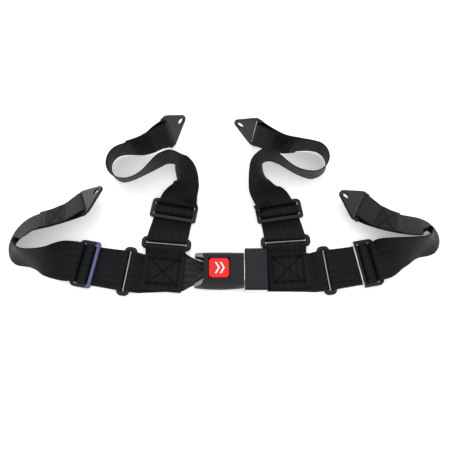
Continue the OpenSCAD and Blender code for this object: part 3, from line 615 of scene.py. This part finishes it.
def strap_lines(leg):
    """A strap's centreline and width direction in metres, and its free run by itself: centre, tangent,
    width."""
    (x, y), ring_z, ring_angle = RINGS[leg]
    angle, reach, side, drift, roll = STRAPS[leg]
    view = strap_side_view(ring_z, reach)
    near = view[:, :1] < BAR_OFFSET + 1
    ahead = np.where(near, direction(ring_angle), direction(angle))
    up = np.array([0, 0, 1.0])
    start = np.array([x, y, 0.0]) + view[:, :1] * ahead + view[:, 1:2] * up
    start = start + view[:, 2:] * drift * side * direction(angle + 90)
    start_w = side * np.where(near, direction(ring_angle + 90), direction(angle + 90))
    route = catmull(np.array([(*start[-1], roll)] + ROUTES[leg], float), STEPS_PER_STATION)
    c, roll = route[:, :3], np.radians(route[:, 3:])
    t = unit(np.concatenate([c[1:2] - c[:1], c[2:] - c[:-2], c[-1:] - c[-2:-1]]))
    h = unit(np.cross(up, t))
    w = side * h * np.cos(roll) + np.cross(t, h) * np.sin(roll)
    fold = FOLD_SIDE[leg]
    n_end = fold * np.cross(t[-1], w[-1])
    bar = c[-1] - BAR_WRAP * n_end
    turn = np.radians(np.arange(15, 166, 15))[:, None]
    loop = bar + BAR_WRAP * (np.cos(turn) * n_end + np.sin(turn) * t[-1])
    k = np.arange(FOLD_STEPS + 1)
    out = np.maximum(LAYER_PITCH, 2 * BAR_WRAP - k / 2 * (2 * BAR_WRAP - LAYER_PITCH) / 5)
    back = c[::-1][k] - out[:, None] * fold * np.cross(t, w)[::-1][k]
    centre = np.concatenate([start, c[1:], loop, back]) * MM
    width = np.concatenate([start_w, w[1:], np.repeat(w[-1:], len(loop), 0), w[::-1][k]])
    square = np.clip((np.arange(len(centre)) - len(start) - 4) / 10, 0, 1)[:, None]
    return centre, width, square, (c * MM, t, w, fold)


def build_strap(leg):
    """One strap: its lines made finer and rounded at the bends, then swept as a ribbon."""
    web = bpy.context.scene.harness_webbing
    centre, width, square, _ = strap_lines(leg)
    centre, width, square = resample(centre, 0.0005, centre, width, square)[1:]
    centre, width = soften(centre, 1.6), soften(width, 4.0)
    centre, width, square = resample(centre, 0.0015, centre, width, square)[1:]
    t = unit(np.gradient(centre, axis=0))
    width = unit(width - t * (width * t).sum(1, keepdims=True) * 0.9 * square)
    obj = ribbon(leg + "_strap_webbing", centre, width, web.width / 2, web.thickness,
                 material("Black webbing"), leg + "_strap")
    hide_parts(leg + "_strap")
    return obj, float(np.linalg.norm(np.diff(centre, axis=0), axis=1).sum())


def build_end_stitching(leg):
    """Sewing that holds the folded end of a strap: two double rows across it with crossed rows between, on
    both faces. Each row is a line in (distance from the plate, place across) laid on the run by
    interpolation."""
    c, t, w, fold = strap_lines(leg)[3]
    c, t, w = c[::-1], t[::-1], w[::-1]
    s = np.r_[0, np.cumsum(np.linalg.norm(np.diff(c, axis=0), axis=1))]
    n = fold * np.cross(t, w)
    above, below = 0.00075, 0.00245
    at = lambda x, a: np.stack([np.interp(x, s, a[:, k]) for k in range(3)], 1)
    rows = [((d, -21), (d, 21)) for d in (23, 25.5, 44, 46.5)]
    rows += [((27, -20), (42.5, 20)), ((27, 20), (42.5, -20)), ((25.5, -21), (44, -21)),
             ((25.5, 21), (44, 21))]
    rows += [((27, u), (42.5, u)) for u in (-13, -6.5, 0, 6.5, 13)]
    lines = []
    for (d0, u0), (d1, u1) in rows:
        f = np.linspace(0, 1, 24)
        d, u = (d0 + (d1 - d0) * f) * MM, (u0 + (u1 - u0) * f) * MM
        base, nn = at(d, c) + at(d, w) * u[:, None], unit(at(d, n))
        lines.append((base + nn * above, nn))
        lines.append((base - nn * below, -nn))
    thread = bpy.context.scene.harness_thread
    return stitches(leg + "_end_stitching", lines, material("Sewing thread"), leg + "_strap", thread.stitch,
                    thread.radius)


def loop_line(ring_z, run, low):
    """Side view of webbing sewn round a ring's bar, as (distance from the ring, height): in along the lower
    layer, round the bar, and down the tangent to the upper layer."""
    b, drop = -BAR_OFFSET, ring_z - (low + UPPER_LAYER)
    leave = math.degrees(math.acos(WRAP_R / math.hypot(run, drop)) - math.atan2(drop, run))
    turn = np.radians(np.linspace(-90, 180 - leave, 16))
    arc = np.stack([b + WRAP_R * np.cos(turn), ring_z + WRAP_R * np.sin(turn)], 1)
    return np.concatenate([[(b - run, low + LOWER_LAYER)], arc, [(b - run, low + UPPER_LAYER)]])


def looped_belt(name, leg, low, run, plan, node, body, across=None, key="Black webbing"):
    """Webbing that comes in along `plan`, goes round the leg's ring and returns above itself. `plan` has
    the points (x, y) from the loop outwards; the width turns from the ring's direction to `across`."""
    web = bpy.context.scene.harness_webbing
    (x, y), ring_z, angle = RINGS[leg]
    view = loop_line(ring_z, run, low)
    centre = np.array([x, y, 0.0]) + view[:, :1] * direction(angle) + view[:, 1:] * np.array([0, 0, 1.0])
    ring_across = direction(angle + 90)
    across = ring_across if across is None else across
    across = across if (across * ring_across).sum() > 0 else -across
    plan = np.array(plan, float)
    z = np.full((len(plan), 1), 1.0)
    lower, upper = np.hstack([plan, z * (low + LOWER_LAYER)]), np.hstack([plan, z * (low + UPPER_LAYER)])
    centre = np.concatenate([lower[::-1], centre, upper]) * MM
    outer, loop = np.repeat(across[None], len(plan), 0), np.repeat(ring_across[None], len(view), 0)
    width = np.concatenate([outer, loop, outer])
    centre, width = resample(centre, 0.0004, centre, width)[1:]
    centre, width = soften(centre, 1.5), soften(width, 12.0)
    centre, width = resample(centre, 0.0014, centre, width)[1:]
    obj = ribbon(name, centre, unit(width), web.width / 2, web.thickness, material(key), body,
                 41)
    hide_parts(node)
    return obj, float(np.linalg.norm(np.diff(centre, axis=0), axis=1).sum())


def tuck(obj, half, radius=0.0009):
    """Edges of the upper layer folded over on themselves where the belt narrows. Along the width, webbing
    within `half` lies flat; the rest goes round a half circle of `radius` and comes back on top."""
    n = len(obj.data.vertices)
    v = np.empty(n * 3)
    obj.data.vertices.foreach_get("co", v)
    v = v.reshape(-1, 3)
    split, blend, middle = 0.0016, 0.0002, 0.0023
    b = np.interp(v[:, 0], *half) - radius
    upper = np.clip((v[:, 2] - split) / blend, 0, 1) * (v[:, 0] > half[0][0])
    h = v[:, 2] - middle
    a = np.abs(v[:, 1])
    over = np.maximum(a - b, 0)
    angle = np.minimum(over / radius, math.pi)
    beyond = np.maximum(over - math.pi * radius, 0)
    flat = over <= 0
    y = np.where(flat, a, b + (radius - h) * np.sin(angle) - beyond)
    z = np.where(flat, v[:, 2], middle + radius - (radius - h) * np.cos(angle))
    y_low = np.minimum(a, b + radius - 0.0002)
    y = upper * y + (1 - upper) * np.where(v[:, 0] > half[0][0], y_low, a)
    z = upper * z + (1 - upper) * v[:, 2]
    v[:, 1], v[:, 2] = np.sign(v[:, 1]) * y, z
    obj.data.vertices.foreach_set("co", v.ravel())
    obj.data.update()


def zigzag(p, q, height, pitch):
    """A row of bar tacks between p and q: points that swing `height` to either side, `pitch` apart."""
    p, q = np.array(p, float), np.array(q, float)
    n = int(np.linalg.norm(q - p) / pitch)
    f = np.linspace(0, 1, n + 1)[:, None]
    across = np.array([-(q - p)[1], (q - p)[0]]) / np.linalg.norm(q - p)
    return p + (q - p) * f + across * height * np.where(np.arange(n + 1) % 2, 1, -1)[:, None]


def build_patch_stitching(side, leg, body):
    """Box with a cross, doubled, and a bar-tack row at its top and bottom, on the shoulder patch."""
    (x, y), _, angle = RINGS[leg]
    far, near, half = -BAR_OFFSET - 12, -BAR_OFFSET - 48, 20
    lines = [[(far, -half), (far, half)], [(near, -half), (near, half)], [(far, -half), (near, -half)],
             [(far, half), (near, half)],
             [(far, -half), (near, half)], [(far, half), (near, -half)], [(far - 2.2, -half + 2),
                                                                          (near + 2.2, -half + 2)],
             [(far - 2.2, half - 2), (near + 2.2, half - 2)], [(far - 1, -half + 2.4),
                                                               (near + 1,
                                                                half - 0.4)], [(far - 1, half - 0.4),
                                                                               (near + 1, -half + 2.4)]]
    lines = [np.array(l, float) for l in lines]
    lines += [zigzag((far - 2.6, -half), (far - 2.6, half), 2.0, 1.1),
              zigzag((near + 2.6, -half), (near + 2.6, half), 2.0, 1.1)]
    out = []
    for l in lines:
        if len(l) == 2:
            l = l[0] + (l[1] - l[0]) * np.linspace(0, 1, 12)[:, None]
        p = np.array([x, y, 0.0]) + l[:, :1] * direction(angle) + l[:, 1:] * direction(angle + 90)
        p[:, 2] = PATCH_THREAD_Z
        out.append((p * MM, np.repeat([[0, 0, 1.0]], len(p), 0)))
    thread = bpy.context.scene.harness_thread
    obj = stitches(side + "_patch_thread", out, material("Sewing thread"), body, thread.stitch * 0.75,
                   thread.radius)
    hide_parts(side + "_patch_stitching")
    return obj


# ---------------------------------------------------------------- operators


class HARNESS_OT_straps(bpy.types.Operator):
    """Four straps, each one length of webbing from its adjuster round its ring to its anchor plate"""

    bl_idname = "harness.straps"
    bl_label = "Straps"

    def execute(self, context):
        for leg in LEGS:
            obj, length = build_strap(leg)
            sewing = build_end_stitching(leg)
        return {"FINISHED"}


class HARNESS_OT_belt(bpy.types.Operator):
    """Lap belt on both sides of the buckle, and the shoulder patches sewn to it"""

    bl_idname = "harness.belt"
    bl_label = "Lap belt and patches"

    def execute(self, context):
        across = np.array([0, 1.0, 0])
        low, run = 0.2, 12
        plan = [(-55, 0), (-17, 0)]
        left, length = looped_belt("left_lap_belt", "left_lap", low, run, plan, "left_lap_webbing",
                                   "buckle",
                                   across, "Lap webbing")
        places = np.array([-54, -50, -46, -42, -38, -34, -29, -22, -17]) * MM
        halves = np.array([26.0, 25.4, 23.6, 21.2, 18.9, 16.8, 14.2, 12.6, 12.6]) * MM
        tuck(left, (places, halves))
        plan = [(100, -0.5), (49.9, 0)]
        right, length = looped_belt("right_lap_belt", "right_lap", low, run, plan, "right_lap_webbing",
                                    "tongue",
                                    across)
        for side, body, belt in (("left", "buckle", left), ("right", "tongue", right)):
            leg = side + "_shoulder"
            (x, y), _, angle = RINGS[leg]
            end = np.array([x, y, 0.0]) - (BAR_OFFSET + 9 + 46) * direction(angle)
            patch, length = looped_belt(side + "_patch", leg, 3.02, 9, [tuple(end[:2])],
                                        side + "_shoulder_patch",
                                        body)
            sewing = build_patch_stitching(side, leg, body)
        return {"FINISHED"}


class HARNESS_OT_hardware(bpy.types.Operator):
    """Rings, adjusters, anchor plates, buckle and tongue, with eased edges and their finishes, with painted
    highlights on the covers' bevels, painted reflections on the lap slides and painted shade inside the
    buckle
    """

    bl_idname = "harness.hardware"
    bl_label = "Hardware"

    def execute(self, context):
        for leg in LEGS:
            # lap slides: painted reflection on the left one, painted highlight along the right one's
            # ring-side edge
            finish = {"left_lap": "Slide with painted reflection", "right_lap": "Slide edge with painted highlight"}.get(leg, "Painted steel")
            eased(leg + "_adjuster", 0.0009, material(finish))
            eased(leg + "_anchor", 0.0006, material("Painted steel"), 2)
            paint(leg + "_ring", "Painted steel")
        shell = eased("buckle_top_cover", 0.0008, material("Cover plastic"))
        # buckle cover's up-left bevel at its left end: painted highlight
        accent(shell, "Bevel painted highlight", (-0.55, 0, 0.83), 0.90, -0.0245)
        eased("buckle_base_cover", 0.0006, material("Cover plastic"))
        cover = eased("tongue_cover", 0.0006, material("Tongue paint"))
        # tongue cover's up-right bevel: painted highlight
        accent(cover, "Bevel painted highlight", (1, 0, 1), 0.93)
        accent(cover, "Bright steel", (0, -1, 0), 0.95)
        eased("release_button", 0.0010, material("Button red"))
        for node in ("cover_screws", "tongue_base"):
            paint(node, "Bright steel")
        paint("tongue_blade", "Blade steel")
        # inner steel parts near black: painted shade inside the buckle
        for node in ("buckle_frame", "latch_leaf", "latch_rivets", "button_spring", "ejector_spring"):
            paint(node, "Steel with painted shade")
        paint("ejector", "Cover plastic")
        paint("button_symbol", "Printed white")
        return {"FINISHED"}


def accent(obj, key, lean, least, before=None):
    """A second material on the faces whose normal leans along `lean` by at least `least`, left of `before`
    in x: painted highlights on bevels that face the lamps, and bright steel on the tongue cover's near
    wall."""
    obj.data.materials.append(material(key))
    n = len(obj.data.polygons)
    normal, centre, index = np.empty(n * 3), np.empty(n * 3), np.zeros(n, dtype=np.int32)
    obj.data.polygons.foreach_get("normal", normal)
    obj.data.polygons.foreach_get("center", centre)
    obj.data.polygons.foreach_get("material_index", index)
    hit = normal.reshape(-1, 3) @ unit(np.array(lean, float)) > least
    if before is not None:
        hit &= centre.reshape(-1, 3)[:, 0] < before
    index[hit] = len(obj.data.materials) - 1
    obj.data.polygons.foreach_set("material_index", index)


def paint(node, key):
    """A finish on a CAD node that keeps its own shape."""
    obj = frame["nodes"][node]
    obj.data.materials.clear()
    obj.data.materials.append(material(key))


class HARNESS_OT_stage(bpy.types.Operator):
    """Pale floor, soft light and the camera"""

    bl_idname = "harness.stage"
    bl_label = "Stage"

    def execute(self, context):
        settings = context.scene.harness_stage
        mat, _, shader = new_material("Floor")
        shader.inputs["Base Color"].default_value = (*settings.floor, 1.0)
        shader.inputs["Roughness"].default_value = 0.9
        shader.inputs["Specular IOR Level"].default_value = 0.1
        shader.inputs["Emission Color"].default_value = (1.0, 1.0, 1.0, 1.0)
        shader.inputs["Emission Strength"].default_value = 0.3
        mesh = bpy.data.meshes.new("floor")
        s = 4.0
        mesh.from_pydata([(-s, -s, 0), (s, -s, 0), (s, s, 0), (-s, s, 0)], [], [(0, 1, 2, 3)])
        mesh.materials.append(mat)
        floor = bpy.data.objects.new("floor", mesh)
        context.scene.collection.objects.link(floor)
        world = bpy.data.worlds.new("Room")
        world.use_nodes = True
        world.node_tree.nodes["Background"].inputs["Color"].default_value = (1.0, 1.0, 1.0, 1.0)
        world.node_tree.nodes["Background"].inputs["Strength"].default_value = 0.95 * settings.light
        context.scene.world = world
        for name, place, turn, size, power in (
            ("Key light", (-0.35, 0.75, 1.1), (-35, -18, 0), 1.3, 7.0),
            ("Fill light", (0.6, -0.2, 1.2), (10, 28, 0), 1.3, 4.0),
        ):
            data = bpy.data.lights.new(name, "AREA")
            data.shape = "SQUARE"
            data.size = size
            data.energy = power * settings.light
            lamp = bpy.data.objects.new(name, data)
            lamp.location = place
            lamp.rotation_euler = [math.radians(a) for a in turn]
            context.scene.collection.objects.link(lamp)
        cam = bpy.data.cameras.new("Camera")
        cam.sensor_width = 36.0
        cam.lens = 36.0 * 520 / 452
        view = bpy.data.objects.new("Camera", cam)
        view.location = (0.005, -0.1683, 0.6305)
        view.rotation_euler = (math.radians(20), 0, 0)
        context.scene.collection.objects.link(view)
        context.scene.camera = view
        context.scene.view_settings.view_transform = "Standard"
        return {"FINISHED"}


class HARNESS_PT_panel(bpy.types.Panel):
    """Buttons for the harness's pieces and their sizes"""

    bl_label = "Racing harness"
    bl_space_type = "VIEW_3D"
    bl_region_type = "UI"
    bl_category = "Harness"

    def draw(self, context):
        for operator in OPERATORS:
            self.layout.operator(operator.bl_idname)
        for group in (context.scene.harness_webbing, context.scene.harness_thread,
                      context.scene.harness_metal, context.scene.harness_stage):
            for key in group.__annotations__:
                self.layout.prop(group, key)


GROUPS = {
    "harness_webbing": HarnessWebbing,
    "harness_thread": HarnessThread,
    "harness_metal": HarnessMetal,
    "harness_stage": HarnessStage,
}
OPERATORS = (HARNESS_OT_stage, HARNESS_OT_straps, HARNESS_OT_belt, HARNESS_OT_hardware)


def register():
    for cls in (*GROUPS.values(), *OPERATORS, HARNESS_PT_panel):
        bpy.utils.register_class(cls)
    for name, cls in GROUPS.items():
        setattr(bpy.types.Scene, name, PointerProperty(type=cls))


def unregister():
    for name in GROUPS:
        delattr(bpy.types.Scene, name)
    for cls in reversed((*GROUPS.values(), *OPERATORS, HARNESS_PT_panel)):
        bpy.utils.unregister_class(cls)


def main():
    register()
    bpy.ops.harness.stage()
    bpy.ops.harness.straps()
    bpy.ops.harness.belt()
    bpy.ops.harness.hardware()


if __name__ == "__main__":
    main()
